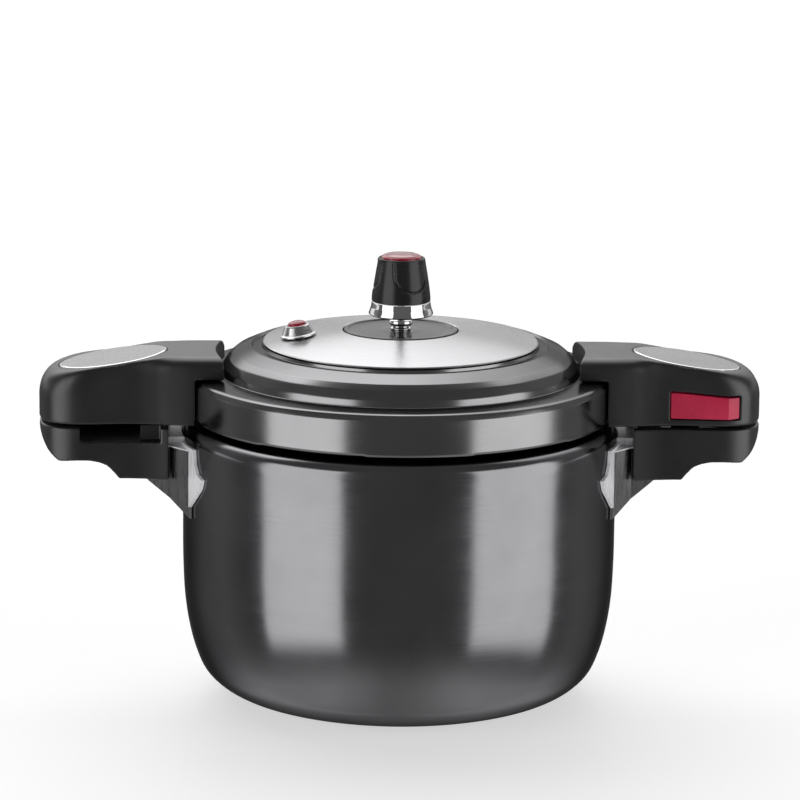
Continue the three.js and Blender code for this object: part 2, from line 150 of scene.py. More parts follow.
class Graph(Nodes):
    """A new material around its Principled shader."""

    def __init__(self, name):
        self.material = bpy.data.materials.new(name)
        self.material.use_nodes = True
        super().__init__(self.material.node_tree)
        self.shader = self.tree.nodes["Principled BSDF"]

    def set(self, **values):
        for key, value in values.items():
            self.shader.inputs[key.replace("_", " ")].default_value = value
        return self

    def link(self, source, key):
        self.tree.links.new(source, self.shader.inputs[key])


def spun_metal(name, dark, light, roughness, lines=1500.0, groove=0.12, edge=0.5,
               grain=0.05, spread=0.08, anisotropic=0.0):
    """Metal turned on a lathe: very fine rings about Z, cloudy patches and a little grain."""
    g = Graph(name)
    g.set(Metallic=1.0, Anisotropic=anisotropic)
    g.shader.inputs["Specular Tint"].default_value = (edge, edge, edge, 1)
    here = g.position()
    x, y, z = g.split(here)
    radius = g.math("SQRT", g.math("ADD", g.math("MULTIPLY", x, x), g.math("MULTIPLY", y, y)))
    around = g.combine(g.math("MULTIPLY", x, 9.0), g.math("MULTIPLY", y, 9.0),
                       g.math("MULTIPLY", radius, lines))
    rings = g.noise(around, 1.0, 3.0, w=g.math("MULTIPLY", z, lines))
    clouds = g.noise(here, 28.0, 4.0)
    speckle = g.noise(here, 2600.0, 1.0)
    g.link(g.tint(clouds, dark, light), "Base Color")
    rough = g.remap(rings, 0.3, 0.7, roughness - spread / 2, roughness + spread / 2)
    rough = g.math("ADD", rough, g.remap(clouds, 0.3, 0.7, -spread / 3, spread / 3))
    g.link(g.math("ADD", rough, g.math("MULTIPLY", g.math("SUBTRACT", speckle, 0.5), grain)),
           "Roughness")
    fine = g.bump(speckle, 0.05, 0.05 * MM)
    g.link(g.bump(rings, groove, 0.05 * MM, fine), "Normal")
    if anisotropic:
        g.set(Anisotropic_Rotation=0.25)
        tangent = g.node("ShaderNodeTangent", direction_type="RADIAL", axis="Z")
        g.tree.links.new(tangent.outputs[0], g.shader.inputs["Tangent"])
    return g.material


def polished(name, color, roughness, metallic=1.0, coat=0.0):
    """Plated or moulded gloss with faint swirls and handling haze."""
    g = Graph(name)
    g.set(Metallic=metallic, Coat_Weight=coat, Coat_Roughness=0.04)
    here = g.position()
    haze = g.noise(here, 90.0, 3.0)
    swirl = g.noise(here, 700.0, 2.0)
    low = tuple(0.93 * c for c in color)
    g.link(g.tint(haze, low, color), "Base Color")
    g.link(g.remap(swirl, 0.3, 0.7, roughness * 0.75, roughness * 1.3), "Roughness")
    g.link(g.bump(haze, 0.02, 0.2 * MM), "Normal")
    return g.material


def moulded(name, dark, light, roughness, grain=0.35, scale=1500.0, specular=0.5, hollow=0.0):
    """Moulded plastic or phenolic with a fine sparked texture and slight cloudiness."""
    g = Graph(name)
    g.set(Metallic=0.0, Specular_IOR_Level=specular)
    here = g.position()
    texture = g.noise(here, scale, 3.0, rough=0.6)
    clouds = g.noise(here, 45.0, 3.0)
    g.link(g.tint(clouds, dark, light), "Base Color")
    rough = g.remap(texture, 0.3, 0.7, roughness - 0.07, roughness + 0.07)
    rough = g.math("ADD", rough, g.remap(clouds, 0.3, 0.7, -0.03, 0.03))
    if hollow:
        # The handles' chambers are left matt: the space in x, y and z that they fill.
        x, y, z = g.split(here)
        inside = g.math("MULTIPLY", g.band(z, 142 * MM, 174.4 * MM, 0.3 * MM),
                        g.band(g.math("ABSOLUTE", y), -MM, 21.6 * MM, 0.3 * MM))
        inside = g.math("MULTIPLY", inside,
                        g.band(g.math("ABSOLUTE", x), 138.7 * MM, 182.3 * MM, 0.3 * MM))
        rough = g.math("ADD", rough, g.math("MULTIPLY", inside, hollow))
    g.link(rough, "Roughness")
    g.link(g.bump(texture, grain, 0.06 * MM), "Normal")
    return g.material


def brushed(name, dark, light, roughness, along=(60.0, 2600.0, 2600.0), edge=0.8, depth=0.12,
            wander=0.08):
    """Straight-grained satin metal."""
    g = Graph(name)
    g.set(Metallic=1.0)
    g.shader.inputs["Specular Tint"].default_value = (edge, edge, edge, 1)
    x, y, z = g.split(g.position())
    streak = g.combine(*(g.math("MULTIPLY", v, s) for v, s in zip((x, y, z), along)))
    lines = g.noise(streak, 1.0, 3.0)
    clouds = g.noise(g.position(), 60.0, 3.0)
    g.link(g.tint(clouds, dark, light), "Base Color")
    g.link(g.remap(lines, 0.3, 0.7, roughness - wander, roughness + wander), "Roughness")
    g.link(g.bump(lines, depth, 0.03 * MM), "Normal")
    return g.material


def bracket_metal():
    """Satin steel: dark on the pressed cheeks; the welded wings and the seat are painted pale and less
    metallic, as painted reflection and painted light.
    """
    g = Graph("bracket_satin")
    g.set(Roughness=0.3)
    x, y, z = g.split(g.position())
    wing = g.band(g.math("ABSOLUTE", y), 36.6 * MM, 80 * MM, 0.2 * MM)
    seat = g.band(z, 140.4 * MM, 160 * MM, 0.2 * MM)
    # Painted light: the wings get a painted reflection of the bright surroundings, and the seat is
    # painted pale where light shows through the gap above it.
    painted_light = g.math("MAXIMUM", wing, seat)
    clouds = g.noise(g.position(), 70.0, 3.0)
    lines = g.noise(g.combine(g.math("MULTIPLY", x, 900.0), g.math("MULTIPLY", y, 900.0),
                              g.math("MULTIPLY", z, 90.0)), 1.0, 3.0)
    tone = g.math("MULTIPLY", g.remap(painted_light, 0, 1, 0.34, 0.93), g.remap(clouds, 0.3, 0.7, 0.94, 1.0))
    g.link(g.combine(tone, tone, g.math("MULTIPLY", tone, 1.02)), "Base Color")
    g.link(g.remap(painted_light, 0, 1, 1.0, 0.12), "Metallic")
    g.link(g.remap(lines, 0.3, 0.7, 0.24, 0.34), "Roughness")
    g.link(g.bump(lines, 0.05, 0.02 * MM), "Normal")
    return g.material


MATERIALS = {
    "pot": spun_metal("pot_anodised", (0.235, 0.235, 0.245), (0.275, 0.275, 0.285), 0.17,
                      lines=2300.0, groove=0.035, edge=0.35, spread=0.07, grain=0.05),
    "pot_inside": spun_metal("pot_inside", (0.40, 0.40, 0.405), (0.46, 0.46, 0.465), 0.33,
                             lines=1300.0, groove=0.10, edge=0.6),
    "lid": spun_metal("lid_anodised", (0.28, 0.28, 0.285), (0.315, 0.315, 0.32), 0.19,
                      lines=2300.0, groove=0.03, edge=0.35, spread=0.06, grain=0.04),
    "plate": spun_metal("lid_steel", (0.56, 0.56, 0.57), (0.60, 0.60, 0.61), 0.28,
                        lines=3600.0, groove=0.03, edge=0.8, spread=0.05, grain=0.03,
                        anisotropic=0.7),
    "disc": polished("disc_gloss", (0.022, 0.022, 0.023), 0.16, metallic=0.0),
    "chrome": polished("chrome_plate", (0.80, 0.80, 0.81), 0.05),
    "satin": polished("satin_chrome", (0.72, 0.72, 0.73), 0.22),
    "red": polished("red_gloss", (0.40, 0.006, 0.035), 0.12, metallic=0.0, coat=0.5),
    "button": moulded("button_red", (0.52, 0.014, 0.062), (0.58, 0.018, 0.072), 0.27,
                      grain=0.08, scale=2200.0),
    "grip": moulded("grip_black", (0.012, 0.012, 0.013), (0.017, 0.017, 0.018), 0.26,
                    grain=0.06, scale=2600.0),
    "phenolic": moulded("phenolic_black", (0.008, 0.008, 0.0085), (0.012, 0.012, 0.0125), 0.36,
                        grain=0.30, scale=1700.0, specular=1.0, hollow=0.55),
    "badge": brushed("badge_satin", (0.50, 0.50, 0.505), (0.55, 0.55, 0.555), 0.28,
                     depth=0.02, wander=0.03),
    "rim": polished("badge_rim", (0.88, 0.88, 0.89), 0.10),
    "bracket": bracket_metal(),
    "dark_steel": brushed("screw_black_oxide", (0.02, 0.02, 0.021), (0.03, 0.03, 0.031), 0.40,
                          along=(900.0, 900.0, 900.0), edge=0.3),
    "steel": brushed("fastener_steel", (0.42, 0.42, 0.43), (0.52, 0.52, 0.53), 0.32,
                     along=(900.0, 900.0, 900.0)),
    "silicone": moulded("silicone_grey", (0.36, 0.36, 0.35), (0.43, 0.43, 0.42), 0.55,
                        grain=0.12, scale=900.0),
}


# ------------------------------------------------------------------ mesh helpers
def add_object(name, mesh, body, nodes, materials, angle=32):
    """Puts a finished mesh in the scene as a piece that rides on a body and stands for CAD nodes."""
    obj = bpy.data.objects.new(name, mesh)
    bpy.context.scene.collection.objects.link(obj)
    for key in materials:
        mesh.materials.append(MATERIALS[key])
    shade(mesh, angle)
    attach(obj, body)
    if nodes:
        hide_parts(*nodes)
    return obj


def shade(mesh, angle):
    """Smooth shading, with edges sharper than the angle kept crisp."""
    bm = bmesh.new()
    bm.from_mesh(mesh)
    bmesh.ops.recalc_face_normals(bm, faces=bm.faces)
    limit = math.radians(angle)
    for face in bm.faces:
        face.smooth = True
    for edge in bm.edges:
        edge.smooth = len(edge.link_faces) != 2 or edge.calc_face_angle(0) < limit
    bm.to_mesh(mesh)
    bm.free()


def fillet(points, steps=5):
    """Rounds a closed or open profile: each point is (r, z) or (r, z, radius of its corner)."""
    out = []
    count = len(points)
    for i, point in enumerate(points):
        radius = point[2] if len(point) > 2 else 0
        here = Vector(point[:2])
        if not radius or i in (0, count - 1):
            out.append(tuple(here))
            continue
        before, after = Vector(points[i - 1][:2]), Vector(points[i + 1][:2])
        a, b = (before - here).normalized(), (after - here).normalized()
        half = a.angle(b) / 2
        reach = min(radius / math.tan(half), 0.49 * (before - here).length,
                    0.49 * (after - here).length)
        r = reach * math.tan(half)
        mid = here + (a + b).normalized() * (r / math.sin(half))
        start, end = here + a * reach - mid, here + b * reach - mid
        for k in range(steps + 1):
            t = k / steps
            v = start.lerp(end, t).normalized() * r
            out.append(tuple(mid + v))
    return out


def flowing(points, step=1.2):
    """A smooth curve through the points, with a new point about every step mm."""
    p = np.array([points[0], *points, points[-1]], float)
    out = []
    for i in range(1, len(p) - 2):
        p0, p1, p2, p3 = p[i - 1:i + 3]
        d1, d0, d2 = (max(np.linalg.norm(v), 1e-9) ** 0.5 for v in (p2 - p1, p1 - p0, p3 - p2))
        m1 = (p1 - p0) / d0 ** 2 * d1 ** 2 if i > 1 else p2 - p1
        m2 = (p3 - p2) / d2 ** 2 * d1 ** 2 if i < len(p) - 3 else p2 - p1
        m1, m2 = ((p2 - p1) + m1) / 2, ((p2 - p1) + m2) / 2
        count = max(1, int(np.linalg.norm(p2 - p1) / step))
        for k in range(count):
            t = k / count
            h = (2 * t ** 3 - 3 * t ** 2 + 1, t ** 3 - 2 * t ** 2 + t,
                 -2 * t ** 3 + 3 * t ** 2, t ** 3 - t ** 2)
            out.append(tuple(h[0] * p1 + h[1] * m1 + h[2] * p2 + h[3] * m2))
    out.append(tuple(p[-1]))
    return out


def lathe(profile, segments=180, start=0.0, shape=None, material_of=None):
    """Turns a profile in mm about Z; shape(r, z, angle) may move a point.

    A profile that doesn't start on the axis is closed into a ring.
    """
    bm = bmesh.new()
    rings = []
    for r, z in profile:
        if r < 1e-6:
            rings.append([bm.verts.new((0, 0, z * MM))])
            continue
        ring = []
        for k in range(segments):
            angle = start + TAU * k / segments
            rr, zz = shape(r, z, angle) if shape else (r, z)
            ring.append(bm.verts.new((rr * math.cos(angle) * MM, rr * math.sin(angle) * MM, zz * MM)))
        rings.append(ring)
    closed = len(rings[0]) > 1
    pairs = list(zip(rings, rings[1:])) + ([(rings[-1], rings[0])] if closed else [])
    for i, (a, b) in enumerate(pairs):
        for k in range(segments):
            k2 = (k + 1) % segments
            corners = [a[k % len(a)], a[k2 % len(a)], b[k2 % len(b)], b[k % len(b)]]
            corners = [v for j, v in enumerate(corners) if v not in corners[:j]]
            if len(corners) > 2:
                face = bm.faces.new(corners)
                if material_of:
                    face.material_index = material_of(i)
    mesh = bpy.data.meshes.new("turned")
    bm.to_mesh(mesh)
    bm.free()
    return mesh


def in_lug(angle, centre, half_width, blend):
    """1 inside one of six equal lugs, 0 outside, with short ramps at its ends."""
    pitch = TAU / 6
    off = abs((angle - centre + pitch / 2) % pitch - pitch / 2)
    return min(1.0, max(0.0, (half_width + blend - off) / blend))


# ------------------------------------------------------------------ pot
LUG_CENTRE = math.radians(-86.5)
LUG_HALF = math.radians(14)
LUG_BLEND = math.radians(0.9)
POT_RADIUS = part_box("pot_body")[1].y / MM
RIM_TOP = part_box("pot_body")[1].z / MM


def pot():
    outer = flowing([(70, 0.0), (78, 1.5), (85.5, 3.4), (92.5, 6.0), (99, 10), (105, 16.2),
                     (109.4, 26), (112.7, 38), (115.2, 54), (116.3, 75), (116.5, 100),
                     (117, 125), (POT_RADIUS, 138), (POT_RADIUS - 0.1, 143.5), (116.2, 147.4),
                     (113.4, 150.4), (109.2, 152.2), (106, 153.8), (104.6, 157.2)])
    neck = fillet([(104.6, 157.2), (104.5, 161.4, 0.5), (104.5, 161.5, 0), (104.5, 162.4, 0),
                   (104.5, 166.6, 0), (104.5, 167.5, 0), (104.5, 167.6, 0.5),
                   (104.5, RIM_TOP, 1.2), (100.8, RIM_TOP, 1.2), (100.8, 157)])
    inner = flowing([(100.8, 157), (101.8, 153.2), (105.6, 149.8), (110.6, 147.4), (113.3, 144.4),
                     (114, 140), (113.8, 125), (113.3, 100), (113, 75), (111.9, 54), (109.2, 39),
                     (105.9, 27.6), (101.6, 19.6), (96, 13.6), (89, 9.6), (80, 7.3), (70, 6.6)])
    base = [(0, 0.6), (20, 0.6), (20.6, 0.9), (23, 0.9), (23.6, 0.6), (60, 0.6), (60.6, 0.0)]
    profile = base + outer + neck[1:] + inner[1:] + [(40, 6.5), (0, 6.5)]
    inside_from = len(base) + len(outer) + len(neck) - 3

    def lugs(r, z, angle):
        if abs(r - 104.5) < 0.01 and 161.45 < z < 167.55:
            chamfer = 0.7 if z < 162 or z > 167 else 0
            return r + (4.7 - chamfer) * in_lug(angle, LUG_CENTRE, LUG_HALF, LUG_BLEND), z
        return r, z

    mesh = lathe(profile, 360, LUG_CENTRE, lugs, lambda i: 1 if i >= inside_from else 0)
    return add_object("pot_shell", mesh, "pot", ["pot_body"],
                      ["pot", "pot_inside"])


# ------------------------------------------------------------------ lid
DOME_TOP, DOME_DROP, DOME_RADIUS = 201.3, 7.5, 73.8


def dome_top(radius):
    """Height of the steel plate's crowned top."""
    return DOME_TOP - DOME_DROP * (radius / DOME_RADIUS) ** 2


def lid():
    outer = fillet([
        (5.3, 198.4), (31, 198.4), (45, dome_top(45) - 1.35), (60, dome_top(60) - 1.35),
        (74.0, dome_top(74) - 1.35), (74.4, 190.9, 0.4), (79.0, 190.6, 0.3), (79.9, 191.75, 0.3),
        (80.8, 191.5, 0.5), (85, 189.75, 8), (88.9, 188.0, 3), (92.4, 185.0, 5),
        (95.2, 180.6, 5), (96.3, 177.05, 0.6), (111.1, 176.65, 2.6), (113, 173.2, 1.2),
        (113, 157.0), (113, 156.2, 0.4), (112.6, 155.1, 0.5)])
    inner = fillet([
        (112.6, 155.1), (110.2, 155.1, 0.4), (110.2, 155.7), (110.2, 156.4), (110.2, 160.2),
        (110.2, 160.9), (110.2, 172.4), (107.6, 175.3, 1.5), (98.4, 175.3, 0.4), (98.4, 169.8, 0.8),
        (95.6, 169.8, 0.8), (92.6, 175.5, 2), (91.8, 179.6, 4), (88, 184.6, 5), (76, 188.4, 10),
        (60, 192.4), (45, 194.5), (31, 195.4), (5.3, 195.4)])

    def lugs(r, z, angle):
        inside = in_lug(angle, LUG_CENTRE, LUG_HALF, LUG_BLEND)
        if abs(r - 110.2) < 0.01 and 155.6 < z < 161:
            chamfer = 0.7 if z < 156 or z > 160.5 else 0
            return r - (4.4 - chamfer) * inside, z
        if r > 110 and z < 156.9:
            return r, z - 0.45 * inside
        return r, z

    mesh = lathe(outer + inner[1:], 360, LUG_CENTRE, lugs)
    return add_object("lid_body", mesh, "lid", ["lid_shell"], ["lid"])


def steel_plate():
    radii = np.linspace(31.6, 73.2, 34)
    top = [(r, dome_top(r)) for r in radii]
    under = [(r, dome_top(r) - 1.0) for r in radii[::-1]]
    profile = [(31.1, dome_top(31.1) - 0.35)] + top + [(73.7, dome_top(73.7) - 0.4)] + under
    mesh = lathe(profile, 256)
    return add_object("lid_top_plate", mesh, "lid", ["lid_plate"], ["plate"])


def centre_disc():
    profile = fillet([(5.3, 198.8), (29.6, 198.8, 0.3), (30.4, 199.2, 0.3), (30.4, 200.0, 0.5),
                      (29.7, 200.4, 0.4), (28.6, 200.3, 0.4), (27.8, 199.6, 0.5), (24, 199.4, 1),
                      (12, 199.5, 2), (8.6, 199.7, 0.5), (5.3, 199.7)])
    return add_object("lid_centre_disc", lathe(profile, 160), "lid",
                      ["centre_disc"], ["disc"])


def gasket():
    profile = fillet([(98.8, 173.6), (98.8, 172.3, 0.5), (101.2, 172.3, 0.3), (101.8, 172.9, 0.3),
                      (103, 172.3, 0.3), (105, 172.3, 0.8), (105, 175, 0.8), (98.8, 175, 0.8),
                      (98.8, 173.6)])[:-1]
    return add_object("silicone_gasket", lathe(profile, 240), "seal", ["gasket"],
                      ["silicone"])


# ------------------------------------------------------------------ vent, weight and indicator
def vent_pipe():
    profile = fillet([
        (1.2, 187), (4.6, 187, 0.3), (4.8, 188, 0.3), (4.8, 200.1), (5.3, 200.1, 0.2),
        (5.5, 200.8, 0.4), (4.5, 201.6, 0.4), (4.5, 201.9, 0.3), (6.0, 202.5, 1.0),
        (6.5, 203.8, 1.5), (6.0, 205.1, 1.0), (4.4, 206.2, 0.6), (4.0, 207.2, 0.4), (3.2, 207.4, 0.3),
        (3.2, 216, 0.5), (1.2, 216)])
    return add_object("steam_vent", lathe(profile, 64), "lid", ["vent_pipe"], ["chrome"])


def weight_body():
    profile = fillet([
        (0, 224), (2.6, 224), (2.6, 217.6), (4.2, 216.8), (4.2, 212), (9.5, 211), (9.5, 208.4, 0.3),
        (10.2, 208, 0.3), (16.7, 208, 0.7), (17.4, 208.8, 0.6), (17.0, 210.0, 1.2),
        (16.2, 212.2, 2.0), (15.85, 214.4, 1.0), (15.7, 215.3, 0.2), (8, 215.3), (8, 230), (0, 230)])
    return add_object("weight_skirt", lathe(profile, 128), "weight", ["weight_body"],
                      ["chrome"])


def weight_cover():
    """The black grip: a leaning wall with three U-shaped finger panels, each edged by a groove."""
    wall = flowing([(15.75, 216.2), (15.72, 218), (15.4, 221), (14.95, 224.5), (14.4, 228),
                    (13.75, 232), (13.15, 235.4), (12.85, 237.4)], 0.3)
    profile = ([(8.3, 215.6), (15.5, 215.6), (15.7, 215.8)] + wall
               + [(12.75, 238.2), (12.45, 238.8), (12.0, 239.1), (11.5, 238.9), (11.3, 238.3),
                  (11.3, 236.4), (5, 236.4), (5, 233), (0, 233), (0, 230.4), (8.3, 230.4)])
    first_panel, pitch = math.radians(-66), TAU / 3
    half_width, round_from, panel_top = 10.6, 230.8, 237.5

    def recess(r, z, angle):
        if not (12.7 < r and 216.1 < z < panel_top):
            return r, z
        off = ((angle - first_panel + pitch / 2) % pitch - pitch / 2) * r
        below = 1.15 * max(0.0, round_from - z)
        distance = half_width - math.hypot(off, below)
        inside = soft_step(distance, 0.0, 0.7)
        groove = math.exp(-((distance - 0.6) / 0.5) ** 2)
        depth = 0.22 * inside + 0.62 * groove
        return r - depth * min(1.0, (panel_top - z) / 0.4), z

    off_axis = [(r, z) for r, z in profile if r > 0]
    mesh = lathe(off_axis, 300, 0, recess)
    return add_object("weight_grip", mesh, "weight", ["weight_cover"], ["grip"], 28)


def weight_cap():
    profile = fillet([(0, 236.7), (10.6, 236.7), (11.0, 237), (11.0, 238.7, 0.5), (10.6, 239.7, 0.8),
                      (9.2, 240.6, 1.2), (6, 241.05, 3), (0, 241.2)])
    return add_object("weight_red_cap", lathe(profile, 96), "weight",
                      ["weight_cap"], ["red"])


def indicator_frame():
    """The indicator stands square on the dome, so it leans outwards."""
    x, y = -54.8, -5.6
    radius = math.hypot(x, y)
    tilt = math.atan(2 * DOME_DROP * radius / DOME_RADIUS ** 2)
    place = Matrix.Translation(Vector((x, y, dome_top(radius))) * MM)
    lean = Matrix.Rotation(tilt, 4, "Y")
    return place @ Matrix.Rotation(math.atan2(y, x), 4, "Z") @ lean


def indicator():
    housing = fillet([
        (2.4, -8), (4.9, -8), (4.9, 0.35), (9.3, 0.35, 0.3), (9.7, 0.6, 0.2), (9.6, 1.2, 0.3),
        (8.6, 1.8, 0.3), (6.7, 5.8, 0.8), (6.1, 6.4, 0.4), (5.3, 6.4, 0.3), (5.3, 3.4), (2.4, 3.4)])
    pin = fillet([
        (0, -14.5), (3.6, -14.5, 0.3), (3.6, -13, 0.3), (2, -13), (2, 3.7), (4.9, 3.7),
        (4.9, 6.7, 0.3), (4.4, 7.6, 0.9), (2.6, 8.3, 2), (0, 8.5)])
    for name, profile, body, slot, node, key in (
            ("indicator_collar", housing, "lid", "chrome", "indicator_housing", "satin"),
            ("indicator_float", pin, "indicator", "red_plastic", "indicator_pin", "red")):
        mesh = lathe(profile, 72)
        mesh.transform(indicator_frame())
        add_object(name, mesh, body, [node], [key])


# ------------------------------------------------------------------ handles
HALF_WIDTHS = [
    (92, 30), (102, 29.9), (113, 29.6), (122, 28.4), (131, 26.8), (140, 25.7), (148, 25.6),
    (156, 26.4), (164, 27.3), (170, 27.6), (176, 27), (182, 25), (187, 21.4), (190.6, 16.2),
    (192.6, 9.8), (193.3, 0)]
SLOPE, SLOPE_START = 0.155, 126
BADGE = (29, 23.1)


def outline():
    """The handle's plan as one smooth loop, with a unit outward normal at each point."""
    half = flowing(HALF_WIDTHS[:-1], 1.0)
    nose = flowing([half[-1], (193.25, 4.5), (193.3, 0)], 1.0)[1:-1]
    side = half + nose
    loop = side + [(193.3, 0)] + [(x, -y) for x, y in reversed(side)]
    loop = np.array(loop)
    ahead = np.roll(loop, -1, axis=0) - np.roll(loop, 1, axis=0)
    ahead[0], ahead[-1] = loop[1] - loop[0], loop[-1] - loop[-2]
    ahead /= np.linalg.norm(ahead, axis=1)[:, None]
    normals = np.stack([-ahead[:, 1], ahead[:, 0]], axis=1)
    if normals[len(loop) // 4][1] < 0:
        normals = -normals
    return loop, normals


def soft_step(x, low, high):
    t = min(1.0, max(0.0, (x - low) / (high - low)))
    return t * t * (3 - 2 * t)


def top_height(x):
    """The upper handle's top: level beside the lid, then falling outwards after a soft bend."""
    bend = 2.0
    return 189 - SLOPE * bend * math.log1p(math.exp((x - SLOPE_START) / bend))


def loft(rings):
    """A closed solid from a stack of equal loops of points in mm."""
    bm = bmesh.new()
    grid = [[bm.verts.new(Vector(p) * MM) for p in ring] for ring in rings]
    count = len(rings[0])
    for a, b in zip(grid, grid[1:]):
        for k in range(count):
            bm.faces.new((a[k], a[(k + 1) % count], b[(k + 1) % count], b[k]))
    bm.faces.new(grid[0][::-1])
    bm.faces.new(grid[-1])
    bmesh.ops.recalc_face_normals(bm, faces=bm.faces)
    bmesh.ops.triangulate(bm, faces=[f for f in bm.faces if len(f.verts) > 4])
    mesh = bpy.data.meshes.new("loft")
    bm.to_mesh(mesh)
    bm.free()
    return mesh


def upper_blank():
    """The upper handle before it is carved: straight sides and a top edge rounded in a quarter turn."""
    loop, normals = outline()
    rings = []
    for inset, height in ((1.1, 152.7), (0.35, 153.0), (0, 153.8), (0, 162)):
        rings.append([(*(p - inset * n), height) for p, n in zip(loop, normals)])
    for k in range(11):
        angle = k / 10 * math.pi / 2
        ring = []
        for p, n in zip(loop, normals):
            nose, arm = soft_step(p[0], 168, 193), 1 - soft_step(p[0], 122, 134)
            reach, drop = 3.4 + 6.2 * nose + 4.6 * arm, 8.5 + 4.0 * nose - 2.0 * arm
            q = p - reach * (1 - math.cos(angle)) * n
            ring.append((*q, top_height(q[0]) - drop * (1 - math.sin(angle))))
        rings.append(ring)
    return loft(rings)


def prism(points, low, high):
    return loft([[(x, y, low) for x, y in points], [(x, y, high) for x, y in points]])


def side_prism(points, y0, y1):
    return loft([[(x, y0, z) for x, z in points], [(x, y1, z) for x, z in points]])


def round_tool(radius, low, high, x=0.0, segments=160):
    ring = [(x + radius * math.cos(TAU * k / segments), radius * math.sin(TAU * k / segments))
            for k in range(segments)]
    return prism(ring, low, high)


def block(x0, x1, y0, y1, z0, z1):
    return prism([(x0, y0), (x1, y0), (x1, y1), (x0, y1)], z0, z1)


def oval(grow, depth, proud, segments=120):
    """An oval slab in the plane of the handle's sloping top."""
    ring = [((BADGE[0] + grow) * math.cos(TAU * k / segments),
             (BADGE[1] + grow) * math.sin(TAU * k / segments)) for k in range(segments)]
    mesh = prism(ring, -depth, proud)
    mesh.transform(badge_frame())
    return mesh


def badge_frame():
    place = Matrix.Translation(Vector((154, 0, 189 - SLOPE * (154 - SLOPE_START))) * MM)
    return place @ Matrix.Rotation(math.atan(SLOPE), 4, "Y")


def carve(base, cuts, joins=(), meets=()):
    """Applies booleans to a mesh and returns the new mesh."""
    obj = bpy.data.objects.new("carve", base)
    bpy.context.scene.collection.objects.link(obj)
    tools = []
    for meshes, operation in ((meets, "INTERSECT"), (joins, "UNION"), (cuts, "DIFFERENCE")):
        for mesh in meshes:
            tool = bpy.data.objects.new("tool", mesh)
            bpy.context.scene.collection.objects.link(tool)
            tools.append(tool)
            modifier = obj.modifiers.new("cut", "BOOLEAN")
            modifier.operation = operation
            modifier.solver = "EXACT"
            modifier.object = tool
    return settle(obj, tools)


def settle(obj, tools=()):
    """The object's mesh with its modifiers applied; the object and its tools are removed."""
    bpy.context.view_layer.update()
    depsgraph = bpy.context.evaluated_depsgraph_get()
    mesh = bpy.data.meshes.new_from_object(obj.evaluated_get(depsgraph))
    for thing in (obj, *tools):
        bpy.data.objects.remove(thing)
    return mesh


def softened(mesh, rounds=5, keep=0.35):
    """Rebuilds a carved solid as an even skin, so that every edge gets a small moulded radius."""
    obj = bpy.data.objects.new("soften", mesh)
    bpy.context.scene.collection.objects.link(obj)
    remesh = obj.modifiers.new("skin", "REMESH")
    remesh.mode = "VOXEL"
    remesh.voxel_size = VOXEL
    smooth = obj.modifiers.new("ease", "SMOOTH")
    smooth.factor = 0.5
    smooth.iterations = rounds
    thin = obj.modifiers.new("thin", "DECIMATE")
    thin.ratio = keep
    return settle(obj)


COVER_PLAN = [(131.8, -8), (138.3, -22.7), (176, -22.7), (181.2, -19.7), (187.7, -8), (187.7, 10),
              (181.2, 11.7), (138.3, 11.7), (131.8, 10)]


def upper_handle(side):
    cuts = [
        round_tool(113.7, 140, 177.6), round_tool(98.8, 170, 200), oval(0.5, 1.7, 12),
        round_tool(4.4, 150, 156.7, 126, 48),
    ]
    if side == "right":
        cuts += [
            prism([(138, -23), (176, -23), (181.5, -20), (181.5, 12), (138, 12)], 150, 174.5),
            prism([(x + (0.4 if x > 160 else -0.4), y + (0.4 if y > 0 else -0.4))
                   for x, y in COVER_PLAN], 150, 155),
            side_prism([(143.0, 156.2), (180.9, 156.2), (180.9, 169.0), (174, 169.4), (151, 171.3),
                        (143.0, 171.7)], -34, -19.4),
        ]
    mesh = softened(carve(upper_blank(), cuts))
    if side == "left":
        mesh.transform(Matrix.Rotation(math.pi, 4, "Z"))
    return add_object(f"grip_upper_{side}", mesh, "lid", [f"upper_handle_{side}"],
                      ["phenolic"], 60)


def lower_handle(side):
    loop, normals = outline()
    rings = []
    for inset, height in ((0, 110), (0, 150.0), (0.3, 150.7), (0.9, 151)):
        rings.append([(*(p - inset * n), height) for p, n in zip(loop, normals)])
    belly = flowing([(150.2, 123.4), (153, 126.8), (156.4, 130.2), (162, 132.5), (168, 133.3),
                     (175, 133.1), (181.0, 132.6)], 1.0)
    nose = flowing([(182.4, 132.7), (185, 134.7), (188.1, 137.8), (190.7, 142.2), (192.4, 146.4),
                    (193.3, 151)], 1.0)
    profile = [(124, 123), (149.4, 123.3)] + belly + nose + [(193.4, 160), (124, 160)]
    socket = [(120, -25.6), (125.4, -24.9), (138, -22.8), (138, 22.8), (125.4, 24.9), (120, 25.6)]
    mesh = carve(
        loft(rings),
        cuts=[prism(socket, 100, 141.4), block(120, 126.4, -21.4, 21.4, 140, 160),
              block(139, 182, -21, 21, 143, 160), block(128, 171, 19, 40, 143, 160)],
        meets=[side_prism(profile, -40, 40)])
    if side == "right":
        mesh = carve(mesh, cuts=[], joins=[block(147, 161, 4.5, 7, 142, 150.4),
                                           block(147, 161, -4.5, -2, 142, 150.4)])
    mesh = softened(mesh, rounds=4)
    if side == "left":
        mesh.transform(Matrix.Rotation(math.pi, 4, "Z"))
    return add_object(f"grip_lower_{side}", mesh, "pot", [f"lower_handle_{side}"],
                      ["phenolic"], 60)


